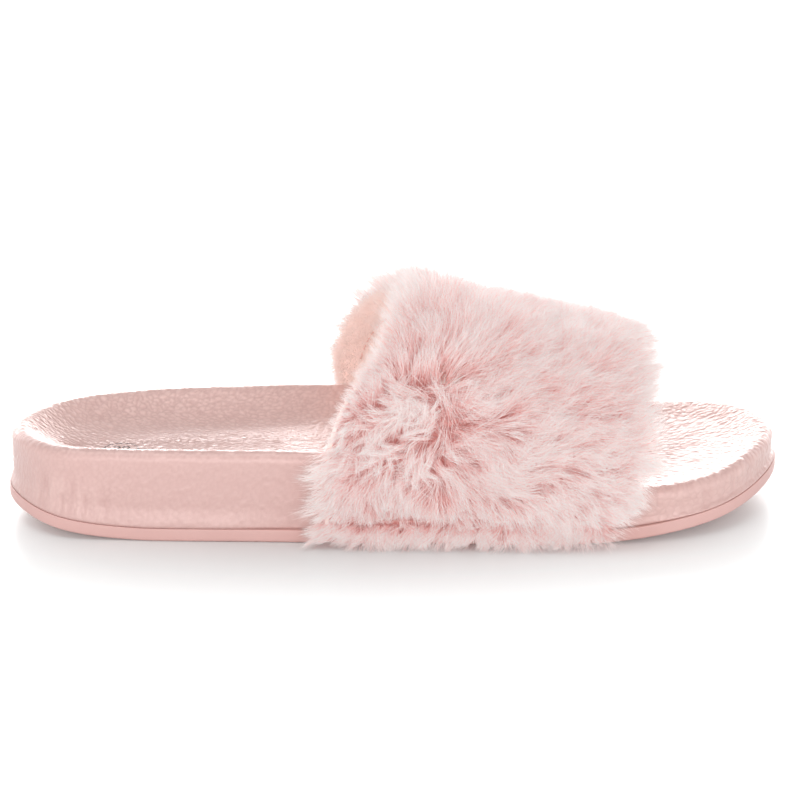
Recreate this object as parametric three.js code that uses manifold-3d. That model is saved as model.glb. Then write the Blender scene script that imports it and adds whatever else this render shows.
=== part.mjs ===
// A fluffy house slipper: a backless slide for the right foot, size 38.
// Millimetres. +X runs from heel to toe, +Y to the big-toe (inner) side, +Z up from the floor.
// The origin is the middle of the footprint, on the floor.
import * as THREE from "three";
import { mergeVertices } from "three/addons/utils/BufferGeometryUtils.js";
import Module from "manifold-3d";

const wasm = await Module();
wasm.setup();

// ---- driving dimensions ----
// The sole's side wall seen from above: heel tip, outer side to the toe, then the inner side back.
const OUTER_SIDE = [
  [-127.5, -3.4], [-123.9, -17.4], [-112.9, -29.8], [-88, -35], [-45, -39.2],
  [5, -44.2], [50, -48], [80, -47], [104, -38.4], [120.1, -19.9],
];
const INNER_SIDE = [
  [127.5, 1.6], [122.7, 24.1], [108, 41], [86, 48.2], [52, 47.4],
  [8, 41.2], [-40, 36.8], [-83, 34], [-108, 26], [-122.3, 11.6],
];
const RING_STEPS = 3; // samples between two outline points
const GAP = 0.3; // clearance between neighbouring pieces
const EDGE = 14; // depth in from the wall to which a ring keeps the wall's own shape
const REACH = 40; // depth at which a ring would close on the spine
const SPINE = [-98, 86]; // heel and toe ends of the sole's middle line

const OUTSOLE_THICK = 4.3;
const OUTSOLE_LIP = 1.3; // the outsole stands out past the wall by this much
const TREAD_DEPTH = 1;
const TREAD_WIDTH = 2.4;
const TREAD_MARGIN = 7; // a groove ends this far in from the side walls
const TREAD_PITCH = 12;
const TREAD_FORE = [24, 96]; // first and last groove under the ball of the foot
const TREAD_HEEL = [-106, -58];
const TOE_SPRING = { from: 45, run: 86, rise: 10 };
const HEEL_LIFT = { from: 80, run: 47, rise: 6 };

const HEEL_RIM = 30; // height of the rim round the heel
const FORE_RIM = 14.6; // rim above the floor line in front of the strap
const RIM_DROP = [-40, 108]; // the rim comes down between these places
const RIM_ROUND = 3.2; // radius of the rolled rim
const DISH_HEEL = 8.6; // how deep the footbed lies below its rim
const DISH_FORE = 2.2;
const DISH_SPAN = 24; // width of the slope from rim to footbed
const DISH_CREST = 0.1; // share of the slope over which the rim's crest is eased

const COVER_THICK = 1.1;
const COVER_MARGIN = 13; // the cover's edge turned in under the core
const FOAM_THICK = 2;
const FOAM_EDGE = 5; // the foam ends this far below the rim
const FILLER_THICK = 1.1;

const STRAP_CROWN = { rear: 64, front: 46.5 }; // height of the strap's underside at the crown
const STRAP_REAR = { outer: -24, inner: -12, crown: 8 }; // x of the rear cut edge: feet and crown
const STRAP_FRONT = { outer: 64, inner: 68, crown: 74.5 };
const STRAP_ROUND = 2.3; // fullness of the arch: 2 is an ellipse
const STRAP_SPRING = 5; // the arch starts this far below the rim
const STRAP_MARGIN = 11; // edges lasted in between the core and the outsole
const LINING_THICK = 0.8;
const CLOTH_THICK = 0.7; // the fur's knitted backing
const WEB_THICK = 0.5;
const PAD_THICK = { foot: 0.8, crown: 3 };
const PILE_THICK = { foot: 6.2, crown: 10.2 };
const PILE_PAST_EDGE = 7; // pile leans this far out over the strap's cut edges
const POCKET_DEPTH = LINING_THICK + CLOTH_THICK + 2 * GAP;

const CREASE = { rear: 4.4, front: 6, out: 3.5 }; // side seam above the outsole, and off the wall
const THREAD = 0.35; // thread radius
const SEAM_INSET = 5; // edge seams from the strap's cut edges
const STITCH = 8; // stitch length
const STITCH_SWAY = 0.15;

// ---- heights of the sole ----
const { lerp, smoothstep, clamp } = THREE.MathUtils;
const ramp = (x, { from, run, rise }) => rise * Math.max(0, (x - from) / run) ** 2;
const floorLine = (x) => ramp(x, TOE_SPRING) + ramp(-x, HEEL_LIFT);
const outsoleTop = (x) => floorLine(x) + OUTSOLE_THICK;
const coverFoot = (x) => outsoleTop(x) + GAP;

function rimHeight(x) {
  return lerp(HEEL_RIM, floorLine(x) + FORE_RIM, smoothstep(x, ...RIM_DROP));
}

// Top of the footbed, or of a layer that lies this far under it, at a depth in from the wall.
function footbed(x, depth, under = 0) {
  if (depth < RIM_ROUND) {
    const radius = Math.max(RIM_ROUND - under, 0);
    const drop = RIM_ROUND - depth;
    return rimHeight(x) - RIM_ROUND + Math.sqrt(Math.max(radius * radius - drop * drop, 0));
  }
  const dish = lerp(DISH_HEEL, DISH_FORE, smoothstep(x, -50, 60));
  const down = clamp((depth - RIM_ROUND) / DISH_SPAN, 0, 1);
  const eased = (down * down * (1 + DISH_CREST)) / (down + DISH_CREST);
  return rimHeight(x) - dish * (1 - (1 - eased) ** 2) - under;
}

// ---- the sole's outline ----
const outline = new THREE.CatmullRomCurve3(
  [...OUTER_SIDE, ...INNER_SIDE].map(([x, y]) => new THREE.Vector3(x, y, 0)),
  true,
  "centripetal",
);
const HALF = OUTER_SIDE.length * RING_STEPS;
const COUNT = 2 * HALF;
const wall = Array.from({ length: COUNT }, (_, i) => {
  const along = outline.getTangent(i / COUNT);
  return { at: outline.getPoint(i / COUNT), inward: new THREE.Vector3(-along.y, along.x, 0) };
});

// A ring of points at a depth in from the wall; height(x, depth) gives each point's z.
function ring(depth, height) {
  return wall.map(({ at, inward }, i) => {
    const p = at.clone().addScaledVector(inward, Math.min(depth, EDGE));
    if (depth > EDGE) {
      const along = Math.min(i, COUNT - i) / HALF;
      const spine = new THREE.Vector3(lerp(...SPINE, along), 0, 0);
      p.lerp(spine, (depth - EDGE) / (REACH - EDGE));
    }
    p.z = height(p.x, depth);
    return p;
  });
}

// y of the wall at a place x, on the outer (-1) or the inner (1) side.
const TRACE = 400;
const trace = outline.getPoints(TRACE);
function wallY(x, side) {
  const start = side < 0 ? 0 : TRACE / 2;
  for (let i = start; i < start + TRACE / 2; i += 1) {
    const [a, b] = [trace[i], trace[i + 1]];
    if ((a.x - x) * (b.x - x) <= 0) return lerp(a.y, b.y, (x - a.x) / (b.x - a.x));
  }
  return 0;
}

// ---- solids ----
// Welds equal points, and leaves out the triangles that close to a line.
function weld(points, faces) {
  const loose = new THREE.BufferGeometry().setFromPoints(points);
  loose.setIndex(faces.flat());
  const geometry = mergeVertices(loose, 1e-3);
  const index = [...geometry.index.array];
  const kept = [];
  for (let i = 0; i < index.length; i += 3) {
    const corners = index.slice(i, i + 3);
    if (new Set(corners).size === 3) kept.push(...corners);
  }
  geometry.setIndex(kept);
  return geometry;
}

// Two triangles for a four-sided face, split along its shorter diagonal.
function quad(points, [a, b, c, d]) {
  const across = points[a].distanceToSquared(points[c]) - points[b].distanceToSquared(points[d]);
  return across < 0 ? [[a, b, c], [a, c, d]] : [[b, c, d], [b, d, a]];
}

// Rings joined one after another, the first and the last closed from side to side.
function loft(rings) {
  const points = rings.flat();
  const faces = [];
  for (let r = 0; r + 1 < rings.length; r += 1) {
    for (let i = 0; i < COUNT; i += 1) {
      const next = (i + 1) % COUNT;
      const [low, high] = [r * COUNT, (r + 1) * COUNT];
      faces.push(...quad(points, [low + i, low + next, high + next, high + i]));
    }
  }
  const last = (rings.length - 1) * COUNT;
  for (let i = 0; i < HALF; i += 1) {
    const across = [i, i + 1, COUNT - i - 1, (COUNT - i) % COUNT];
    faces.push(...quad(points, across.map((k) => last + k)));
    faces.push(...quad(points, across.toReversed()));
  }
  return weld(points, faces);
}

// A slab between an inner and an outer grid of points with the same rows and columns.
function slab(inner, outer) {
  const points = [...inner.flat(), ...outer.flat()];
  const [rows, columns] = [inner.length, inner[0].length];
  const at = (side, r, c) => (side * rows + r) * columns + c;
  const [end, right] = [rows - 1, columns - 1];
  const faces = [];
  const face = (...corners) => faces.push(...quad(points, corners));
  for (let r = 0; r < end; r += 1) {
    for (let c = 0; c < right; c += 1) {
      face(at(1, r, c), at(1, r, c + 1), at(1, r + 1, c + 1), at(1, r + 1, c));
      face(at(0, r, c), at(0, r + 1, c), at(0, r + 1, c + 1), at(0, r, c + 1));
    }
    face(at(0, r, 0), at(1, r, 0), at(1, r + 1, 0), at(0, r + 1, 0));
    face(at(1, r, right), at(0, r, right), at(0, r + 1, right), at(1, r + 1, right));
  }
  for (let c = 0; c < right; c += 1) {
    face(at(0, 0, c), at(0, 0, c + 1), at(1, 0, c + 1), at(1, 0, c));
    face(at(1, end, c), at(1, end, c + 1), at(0, end, c + 1), at(0, end, c));
  }
  return weld(points, faces);
}

function solid(geometry) {
  const bare = geometry.clone();
  bare.deleteAttribute("normal");
  bare.deleteAttribute("uv");
  const shape = mergeVertices(bare, 1e-4);
  return new wasm.Manifold(
    new wasm.Mesh({
      numProp: 3,
      vertProperties: new Float32Array(shape.attributes.position.array),
      triVerts: new Uint32Array(shape.index.array),
    }),
  );
}

function geometryOf(manifold) {
  const { vertProperties, triVerts } = manifold.getMesh();
  const geometry = new THREE.BufferGeometry();
  geometry.setAttribute("position", new THREE.Float32BufferAttribute(vertProperties, 3));
  geometry.setIndex([...triVerts]);
  return geometry;
}

// ---- sole pieces ----
const FLAT_DEPTHS = [26, 20, EDGE]; // rings of a flat face, from the middle out
const DISH_DEPTHS = [...FLAT_DEPTHS, 7];
const HEM_ROUND = 0.8;
const rings = (depths, height) => depths.map((d) => ring(d, height));
const outward = (depths) => depths.toReversed();

function outsole() {
  const body = loft([
    ...rings([...FLAT_DEPTHS, 1.2], floorLine),
    ring(-0.6, (x) => floorLine(x) + 0.7),
    ring(-OUTSOLE_LIP, (x) => floorLine(x) + 2.2),
    ring(-OUTSOLE_LIP, (x) => outsoleTop(x) - 0.5),
    ...rings([0.5 - OUTSOLE_LIP, ...outward(FLAT_DEPTHS)], outsoleTop),
  ]);
  const cuts = [...treadGrooves(), marginPocket(-1), marginPocket(1)];
  return geometryOf(cuts.reduce((shape, cut) => shape.subtract(cut), solid(body)));
}

function treadGrooves() {
  const grooves = [];
  for (const [first, last] of [TREAD_HEEL, TREAD_FORE]) {
    for (let x = first; x <= last; x += TREAD_PITCH) {
      const [outer, inner] = [wallY(x, -1) + TREAD_MARGIN, wallY(x, 1) - TREAD_MARGIN];
      const groove = new THREE.BoxGeometry(TREAD_WIDTH, inner - outer, 2 * TREAD_DEPTH);
      groove.rotateY(-Math.atan(floorLine(x + 0.5) - floorLine(x - 0.5)));
      groove.translate(x, (outer + inner) / 2, floorLine(x));
      grooves.push(solid(groove));
    }
  }
  return grooves;
}

// Room in the outsole's top for the strap's lasted edge on one side.
function marginPocket(side) {
  const [rear, front] = [footX(0, side) - 2 * GAP, footX(1, side) + 2 * GAP];
  const [a, b] = [wallY(rear, side), wallY(front, side)];
  const width = 2 * (STRAP_MARGIN + 2);
  const pocket = new THREE.BoxGeometry(front - rear + 2, width, 2 * POCKET_DEPTH);
  pocket.rotateZ(Math.atan((b - a) / (front - rear)));
  pocket.translate((rear + front) / 2, (a + b) / 2, OUTSOLE_THICK);
  return solid(pocket);
}

function footbedCover() {
  const t = COVER_THICK;
  const wallTop = (x) => rimHeight(x) - RIM_ROUND;
  return loft([
    ...rings([...DISH_DEPTHS, RIM_ROUND, 1.6], (x, d) => footbed(x, d, t)),
    ring(t, wallTop),
    ...rings([t, COVER_MARGIN], (x) => coverFoot(x) + t),
    ...rings([COVER_MARGIN, HEM_ROUND], coverFoot),
    ring(0, (x) => coverFoot(x) + HEM_ROUND),
    ring(0, wallTop),
    ...rings([0.6, RIM_ROUND, ...outward(DISH_DEPTHS)], footbed),
  ]);
}

function footbedFoam() {
  const side = COVER_THICK + GAP;
  return loft([
    ...rings(DISH_DEPTHS, (x, d) => footbed(x, d, side + FOAM_THICK)),
    ring(side, (x) => rimHeight(x) - FOAM_EDGE),
    ring(side, (x) => rimHeight(x) - RIM_ROUND),
    ...rings([2, RIM_ROUND, ...outward(DISH_DEPTHS)], (x, d) => footbed(x, d, side)),
  ]);
}

function midsoleCore() {
  const side = COVER_THICK + GAP;
  const foot = (x) => coverFoot(x) + side;
  return loft([
    ...rings([...FLAT_DEPTHS, side + HEM_ROUND], foot),
    ring(side, (x) => foot(x) + HEM_ROUND),
    ring(side, (x) => rimHeight(x) - FOAM_EDGE - GAP),
    ...rings(outward(DISH_DEPTHS), (x, d) => footbed(x, d, side + FOAM_THICK + GAP)),
  ]);
}

function bottomFiller() {
  const depths = [...FLAT_DEPTHS.slice(0, 2), COVER_MARGIN + GAP];
  return loft([
    ...rings(depths, coverFoot),
    ...rings(outward(depths), (x) => coverFoot(x) + FILLER_THICK),
  ]);
}

// ---- the strap ----
// Rows run from the outer side's foot over the crown to the inner side's, columns from rear to front.
const WALL_ROWS = 1;
const ROWS = 18;
const COLUMNS = [0, 0.08, 0.25, 0.42, 0.58, 0.75, 0.92, 1];

// x of a column at the foot of one side.
function footX(column, side) {
  const foot = side < 0 ? "outer" : "inner";
  return lerp(STRAP_REAR[foot], STRAP_FRONT[foot], column);
}

// A point of the strap's underside.
function underside(row, column) {
  const side = row < ROWS / 2 ? -1 : 1;
  const up = Math.min(row, ROWS - row);
  const turn = (Math.PI / 2) * clamp((up - WALL_ROWS) / (ROWS / 2 - WALL_ROWS), 0, 1);
  const climb = 0.3 * Math.min(up / WALL_ROWS, 1) + 0.7 * Math.sin(turn);
  const rear = lerp(footX(0, side), STRAP_REAR.crown, climb ** 3.4);
  const front = lerp(footX(1, side), STRAP_FRONT.crown, 1 - (1 - climb) ** 3);
  const x = lerp(rear, front, column);
  const [left, right] = [wallY(x, -1), wallY(x, 1)];
  const spring = rimHeight(x) - STRAP_SPRING;
  if (up <= WALL_ROWS) {
    const z = lerp(coverFoot(x), spring, up / WALL_ROWS);
    return new THREE.Vector3(x, side < 0 ? left : right, z);
  }
  const { crown: crownRear } = STRAP_REAR;
  const forward = clamp((x - crownRear) / (STRAP_FRONT.crown - crownRear), 0, 1);
  const crown = lerp(STRAP_CROWN.rear, STRAP_CROWN.front, forward);
  const power = 2 / STRAP_ROUND;
  const y = (left + right) / 2 + (side * (right - left) * Math.cos(turn) ** power) / 2;
  return new THREE.Vector3(x, y, spring + (crown - spring) * Math.sin(turn) ** power);
}

// Unit vectors at a point of the underside: along to the front, and out of the strap.
function axes(row, column) {
  const [a, b] = [Math.max(row - 0.1, 0), Math.min(row + 0.1, ROWS)];
  const across = underside(b, column).sub(underside(a, column));
  const along = underside(row, column + 0.02).sub(underside(row, column - 0.02)).normalize();
  return { along, out: along.clone().cross(across).normalize() };
}

// A grid of points off the underside; out(row) is the distance, and rows may be a part of the strap.
function strapGrid(out, rows = [0, ROWS], columns = COLUMNS) {
  const grid = [];
  for (let row = rows[0]; row <= rows[1]; row += 1) {
    grid.push(columns.map((c) => underside(row, c).addScaledVector(axes(row, c).out, out(row))));
  }
  return grid;
}

const overFoot = (row) => Math.sin((Math.PI * row) / ROWS);
const byRow = ({ foot, crown }) => (row) => lerp(foot, crown, overFoot(row));
const padThick = byRow(PAD_THICK);
const padInside = () => 2 * GAP + LINING_THICK;
const webInside = (row) => padInside() + padThick(row) + GAP;
const pileInside = (row) => webInside(row) + WEB_THICK + GAP;

// A point beside the wall: out from it, and up from the outsole's top.
function besideWall(x, side, out, up) {
  return new THREE.Vector3(x, wallY(x, side) + side * out, outsoleTop(x) + up);
}

// A grid with the rows of both its feet; feet(side) lists them from the turned-in edge upwards.
const withFeet = (grid, feet) => [...feet(-1), ...grid, ...feet(1).toReversed()];

function strapLining() {
  const faces = [GAP, GAP + LINING_THICK].map((out) => {
    const lasted = (side) => [-STRAP_MARGIN, out].map((o) =>
      COLUMNS.map((c) => besideWall(footX(c, side), side, o, GAP - out)));
    return withFeet(strapGrid(() => out), lasted);
  });
  return slab(...faces);
}

function strapLayer(inside, thick) {
  const columns = COLUMNS.map((c) => clamp(c, 0.03, 0.97));
  const rows = [WALL_ROWS, ROWS - WALL_ROWS];
  const outside = (row) => inside(row) + thick(row);
  return slab(strapGrid(inside, rows, columns), strapGrid(outside, rows, columns));
}

// The fur: its backing with the pile on it, which leans out past the cut edges and hangs over the
// outsole. Each row of a foot pairs a point of the backing with one of the pile, as [out, up]: the
// lasted rows go under the core, the hanging ones over the outsole, and the rest sit at the crease.
const FUR_LASTED = [
  [[-STRAP_MARGIN, -1.1], [-STRAP_MARGIN, -1.1 - CLOTH_THICK]],
  [[1.4, -1.1], [1.7, -1.1 - CLOTH_THICK]],
  [[1.4, -0.5], [1.7, -3.3]],
];
const FUR_HANGING = [
  [[1.4, 0.3], [4.4, -3.7]],
  [[1.4, 1.2], [7.2, -2.6]],
  [[1.5, 1.8], [8, 1.4]],
];
const FUR_CREASE = [
  [[1.7, 0], [CREASE.out, 0]],
  [[2, 1], [7.8, 2]],
];
const PILE_LEAN = [-1, -0.62, -0.2, 0, 0, 0.2, 0.62, 1]; // each column's lean past the edges
const PILE_FULL = [0.55, 0.95, 1, 1, 1, 1, 0.9, 0.5];

const creaseUp = (column) => lerp(CREASE.rear, CREASE.front, column);

// The rows of one foot on the backing (face 0) or on the pile (face 1).
function furFoot(side, face) {
  const row = (leans, lift) => ([out, up]) => COLUMNS.map((c, k) => {
    const x = footX(c, side) + (leans ? PILE_PAST_EDGE * PILE_LEAN[k] : 0);
    const full = leans ? CREASE.out + (out - CREASE.out) * PILE_FULL[k] : out;
    return besideWall(x, side, Math.min(out, full), up + lift(c));
  });
  const pile = face === 1;
  return [
    ...FUR_LASTED.map((pair) => row(false, () => 0)(pair[face])),
    ...FUR_HANGING.map((pair) => row(pile, () => 0)(pair[face])),
    ...FUR_CREASE.map((pair) => row(pile, creaseUp)(pair[face])),
  ];
}

function strapFur() {
  const pileThick = byRow(PILE_THICK);
  const pile = [];
  for (let row = WALL_ROWS; row <= ROWS - WALL_ROWS; row += 1) {
    pile.push(COLUMNS.map((c, k) => {
      const { along, out } = axes(row, c);
      const height = pileInside(row) + pileThick(row) * PILE_FULL[k];
      const lean = PILE_PAST_EDGE * PILE_LEAN[k];
      return underside(row, c).addScaledVector(out, height).addScaledVector(along, lean);
    }));
  }
  const backing = strapGrid(pileInside, [WALL_ROWS, ROWS - WALL_ROWS]);
  return slab(
    withFeet(backing, (side) => furFoot(side, 0)),
    withFeet(pile, (side) => furFoot(side, 1)),
  );
}

// ---- seams ----
const STRAP_LENGTH = STRAP_FRONT.outer - STRAP_REAR.outer;
const OVER_THE_FOOT = 110; // length of an edge seam

// A thread along a path, swaying from stitch to stitch.
function thread(point, length) {
  const steps = 3 * Math.round(length / STITCH);
  const points = [];
  for (let i = 0; i <= steps; i += 1) {
    points.push(point(i / steps, STITCH_SWAY * (i % 3 === 0 ? 1 : 0)));
  }
  const across = new THREE.Shape();
  across.moveTo(THREAD, 0).lineTo(0, THREAD).lineTo(-THREAD, 0).lineTo(0, -THREAD);
  const extrudePath = new THREE.CatmullRomCurve3(points);
  return new THREE.ExtrudeGeometry(across, { steps, extrudePath, bevelEnabled: false });
}

// Along one cut edge, on the lining's face over the foot.
function edgeSeam(column) {
  const first = WALL_ROWS + 1.4;
  return thread((t, sway) => {
    const row = lerp(first, ROWS - first, t);
    return underside(row, column).addScaledVector(axes(row, column).out, sway - THREAD - STITCH_SWAY);
  }, OVER_THE_FOOT);
}

// Along the foot of one side, in the crease of the fur.
function sideSeam(side) {
  return thread((t, sway) => {
    const column = lerp(0.03, 0.97, t);
    return besideWall(footX(column, side), side, CREASE.out + 3 * THREAD + sway, creaseUp(column));
  }, STRAP_LENGTH);
}

// ---- materials ----
const material = (color, roughness) => new THREE.MeshStandardMaterial({ color, roughness, metalness: 0 });
const rubber = material("#e6b5ae", 0.5);
const leatherette = material("#e2b8b0", 0.35);
const foam = material("#f2e3de", 0.9);
const eva = material("#eee4df", 0.8);
const board = material("#cfc6bc", 0.9);
const fur = material("#f0c4c1", 0.95);
const lining = material("#f2a797", 0.9);
const web = material("#f4f0ec", 0.85);
const cotton = material("#eab2aa", 0.7);

// ---- assembly ----
const slipper = new THREE.Group();
function add(name, geometry, look) {
  const mesh = new THREE.Mesh(geometry, look);
  mesh.name = name;
  slipper.add(mesh);
}

const seamColumn = SEAM_INSET / STRAP_LENGTH;
add("outsole", outsole(), rubber);
add("bottom_filler", bottomFiller(), board);
add("midsole_core", midsoleCore(), eva);
add("footbed_foam", footbedFoam(), foam);
add("footbed_cover", footbedCover(), leatherette);
add("strap_lining", strapLining(), lining);
add("strap_padding", strapLayer(padInside, padThick), foam);
add("strap_reinforcement", strapLayer(webInside, () => WEB_THICK), web);
add("strap_fur", strapFur(), fur);
add("rear_edge_stitching", edgeSeam(seamColumn), cotton);
add("front_edge_stitching", edgeSeam(1 - seamColumn), cotton);
add("outer_side_stitching", sideSeam(-1), cotton);
add("inner_side_stitching", sideSeam(1), cotton);

export default slipper;
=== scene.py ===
"""A fluffy house slipper: the looks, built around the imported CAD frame.

+X runs from heel to toe, +Y to the big-toe side, +Z up from the floor. Shapes are worked out in
millimetres, from the same driving dimensions as the CAD model, and add_piece() puts them in metres.
"""

import math

import bmesh
import bpy
import numpy as np
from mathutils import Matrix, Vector
from mathutils.bvhtree import BVHTree


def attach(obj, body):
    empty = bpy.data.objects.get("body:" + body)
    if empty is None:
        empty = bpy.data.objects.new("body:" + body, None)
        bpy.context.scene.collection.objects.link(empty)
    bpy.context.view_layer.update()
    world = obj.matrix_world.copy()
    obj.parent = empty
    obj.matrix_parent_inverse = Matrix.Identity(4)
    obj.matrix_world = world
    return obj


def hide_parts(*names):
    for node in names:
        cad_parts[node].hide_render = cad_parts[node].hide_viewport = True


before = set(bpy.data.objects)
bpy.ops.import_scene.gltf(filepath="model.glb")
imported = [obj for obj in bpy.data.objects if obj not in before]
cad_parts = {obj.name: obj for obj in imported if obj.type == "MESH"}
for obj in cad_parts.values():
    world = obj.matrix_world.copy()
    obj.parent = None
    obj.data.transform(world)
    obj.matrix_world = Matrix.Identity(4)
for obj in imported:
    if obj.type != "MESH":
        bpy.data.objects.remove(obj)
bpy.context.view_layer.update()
MM = 0.001

# ---- driving dimensions, in millimetres ----
OUTER_SIDE = [
    (-127.5, -3.4), (-123.9, -17.4), (-112.9, -29.8), (-88, -35), (-45, -39.2),
    (5, -44.2), (50, -48), (80, -47), (104, -38.4), (120.1, -19.9),
]
INNER_SIDE = [
    (127.5, 1.6), (122.7, 24.1), (108, 41), (86, 48.2), (52, 47.4),
    (8, 41.2), (-40, 36.8), (-83, 34), (-108, 26), (-122.3, 11.6),
]
GAP = 0.3
EDGE = 14  # depth in from the wall to which a ring keeps the wall's own shape
REACH = 40  # depth at which the rings close on the spine
SPINE = (-98, 86)

OUTSOLE_THICK = 4.3
OUTSOLE_LIP = 1.3
TREAD_WIDTH = 2.4
TREAD_DEPTH = 1.0
TREAD_MARGIN = 7  # a groove ends this far in from the side walls
TREAD_STARTS = [-106 + 12 * k for k in range(5)] + [24 + 12 * k for k in range(7)]
HEEL_RIM = 30
FORE_RIM = 14.6
RIM_DROP = (-40, 108)
RIM_ROUND = 3.2
DISH_HEEL = 8.6
DISH_FORE = 2.2
DISH_SPAN = 24
DISH_CREST = 0.1
COVER_THICK = 1.1
COVER_MARGIN = 13

STRAP_CROWN = (64, 46.5)  # underside at the crown, rear and front
STRAP_REAR = (-24, -12, 8)  # x of the rear cut edge: outer foot, inner foot, crown
STRAP_FRONT = (64, 68, 74.5)
REAR_SWELL = 4.5  # how far the soft rear edge bulges back over the inner side of the foot
STRAP_ROUND = 2.3
STRAP_SPRING = 5
ROWS = 18
LINING_THICK = 0.8
CLOTH_THICK = 0.7
BACKING_FOOT = 1.4  # the fur's backing, out from the wall at the strap's feet
ROOT_FOOT = 1.7  # the roots of its pile there
WEB_THICK = 0.5
PAD_THICK = (0.8, 3)  # at the feet and over the crown
CREASE = (4.4, 6)  # side seam above the outsole's top, rear and front
CREASE_OUT = 3.5
SEAM_INSET = 5
STRAP_LENGTH = STRAP_FRONT[0] - STRAP_REAR[0]


# ---- small maths ----
def lerp(a, b, t):
    return a + (b - a) * t


def smoothstep(x, low, high):
    t = np.clip((x - low) / (high - low), 0, 1)
    return t * t * (3 - 2 * t)


def unit(v):
    return v / np.maximum(np.linalg.norm(v, axis=-1, keepdims=True), 1e-9)


def scramble(*cells, seed=0):
    """A repeatable random number from 0 to 1 for each whole-number cell."""
    h = np.uint32(seed * 7919 + 17)
    for k, cell in enumerate(cells):
        h = h ^ (np.asarray(cell).astype(np.int64) & 0xFFFFFFFF).astype(np.uint32) * np.uint32(
            (73856093, 19349663, 83492791)[k]
        )
        h = (h ^ (h >> np.uint32(15))) * np.uint32(2246822519)
    h = (h ^ (h >> np.uint32(13))) * np.uint32(3266489917)
    return ((h ^ (h >> np.uint32(16))) & np.uint32(0xFFFFFF)) / 0xFFFFFF


def drift(x, y, size, seed):
    """Smooth noise from -1 to 1 over a plane, with features about size wide."""
    x, y = x / size, y / size
    i, j = np.floor(x), np.floor(y)
    u, v = (x - i) ** 2 * (3 - 2 * (x - i)), (y - j) ** 2 * (3 - 2 * (y - j))
    corner = lambda a, b: scramble(i + a, j + b, seed=seed)
    return 2 * lerp(lerp(corner(0, 0), corner(1, 0), u), lerp(corner(0, 1), corner(1, 1), u), v) - 1


def pebbles(points, seed):
    """For each point, how far it lies inside its cell of a random foam of unit cells, from 0 at the
    cell's edge, and a random number for the cell."""
    base = np.floor(points)
    nearest = np.full(len(points), 9.0)
    second = nearest.copy()
    which = nearest.copy()
    for dx in (-1, 0, 1):
        for dy in (-1, 0, 1):
            for dz in (-1, 0, 1):
                cell = base + (dx, dy, dz)
                place = [scramble(*cell.T, seed=seed + k) for k in range(3)]
                away = np.linalg.norm(cell + np.stack(place, 1) - points, axis=1)
                closer = away < nearest
                second = np.where(closer, nearest, np.minimum(second, away))
                which = np.where(closer, place[0], which)
                nearest = np.minimum(nearest, away)
    return second - nearest, which


# ---- the sole's outline and heights ----
KNOTS = np.array(OUTER_SIDE + INNER_SIDE, float)


def outline(u):
    """Points and unit inward directions of the side wall seen from above, u from 0 to 1 round it."""
    t = np.asarray(u, float) % 1 * len(KNOTS)
    first = np.floor(t).astype(int)
    t = (t - first)[:, None]
    p = [KNOTS[(first + k) % len(KNOTS)] for k in (-1, 0, 1, 2)]
    gap = [np.sqrt(np.linalg.norm(b - a, axis=1))[:, None] for a, b in zip(p, p[1:])]
    leave = (p[1] - p[0]) / gap[0] - (p[2] - p[0]) / (gap[0] + gap[1]) + (p[2] - p[1]) / gap[1]
    arrive = (p[2] - p[1]) / gap[1] - (p[3] - p[1]) / (gap[1] + gap[2]) + (p[3] - p[2]) / gap[2]
    leave, arrive = leave * gap[1], arrive * gap[1]
    square = -3 * p[1] + 3 * p[2] - 2 * leave - arrive
    cube = 2 * p[1] - 2 * p[2] + leave + arrive
    along = unit(leave + 2 * square * t + 3 * cube * t * t)
    return p[1] + leave * t + square * t**2 + cube * t**3, np.stack([-along[:, 1], along[:, 0]], 1)


TRACE = outline(np.linspace(0, 1, 401) % 1)[0]


def wall_y(x, side):
    half = TRACE[:201] if side < 0 else TRACE[:199:-1]
    return np.interp(x, half[:, 0], half[:, 1])


def floor_line(x):
    return 10 * np.maximum(0, (x - 45) / 86) ** 2 + 6 * np.maximum(0, (-x - 80) / 47) ** 2


def outsole_top(x):
    return floor_line(x) + OUTSOLE_THICK


def cover_foot(x):
    return outsole_top(x) + GAP


def rim_height(x):
    return lerp(HEEL_RIM, floor_line(x) + FORE_RIM, smoothstep(x, *RIM_DROP))


def footbed(x, depth, under=0):
    radius = max(RIM_ROUND - under, 0)
    rounded = np.sqrt(np.maximum(radius**2 - (RIM_ROUND - depth) ** 2, 0)) - RIM_ROUND
    dish = lerp(DISH_HEEL, DISH_FORE, smoothstep(x, -50, 60))
    down = np.clip((depth - RIM_ROUND) / DISH_SPAN, 0, 1)
    eased = down**2 * (1 + DISH_CREST) / (down + DISH_CREST)
    hollow = -dish * (1 - (1 - eased) ** 2) - under
    return rim_height(x) + np.where(depth < RIM_ROUND, rounded, hollow)


def ring(depth, height, count, bulge=None):
    """A closed ring of points at a depth in from the wall, at height(x, depth). bulge(x) moves it out."""
    u = np.arange(count) / count
    at, inward = outline(u)
    plan = at + inward * min(depth, EDGE)
    if bulge is not None:
        plan = plan - inward * bulge(at[:, 0])[:, None]
    if depth > EDGE:
        spine = lerp(*SPINE, 2 * np.minimum(u, 1 - u))
        share = (depth - EDGE) / (REACH - EDGE)
        plan = lerp(plan, np.stack([spine, 0 * spine], 1), share)
    z = height(plan[:, 0], depth) + 0 * plan[:, 0]
    return np.column_stack([plan, z])


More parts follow.
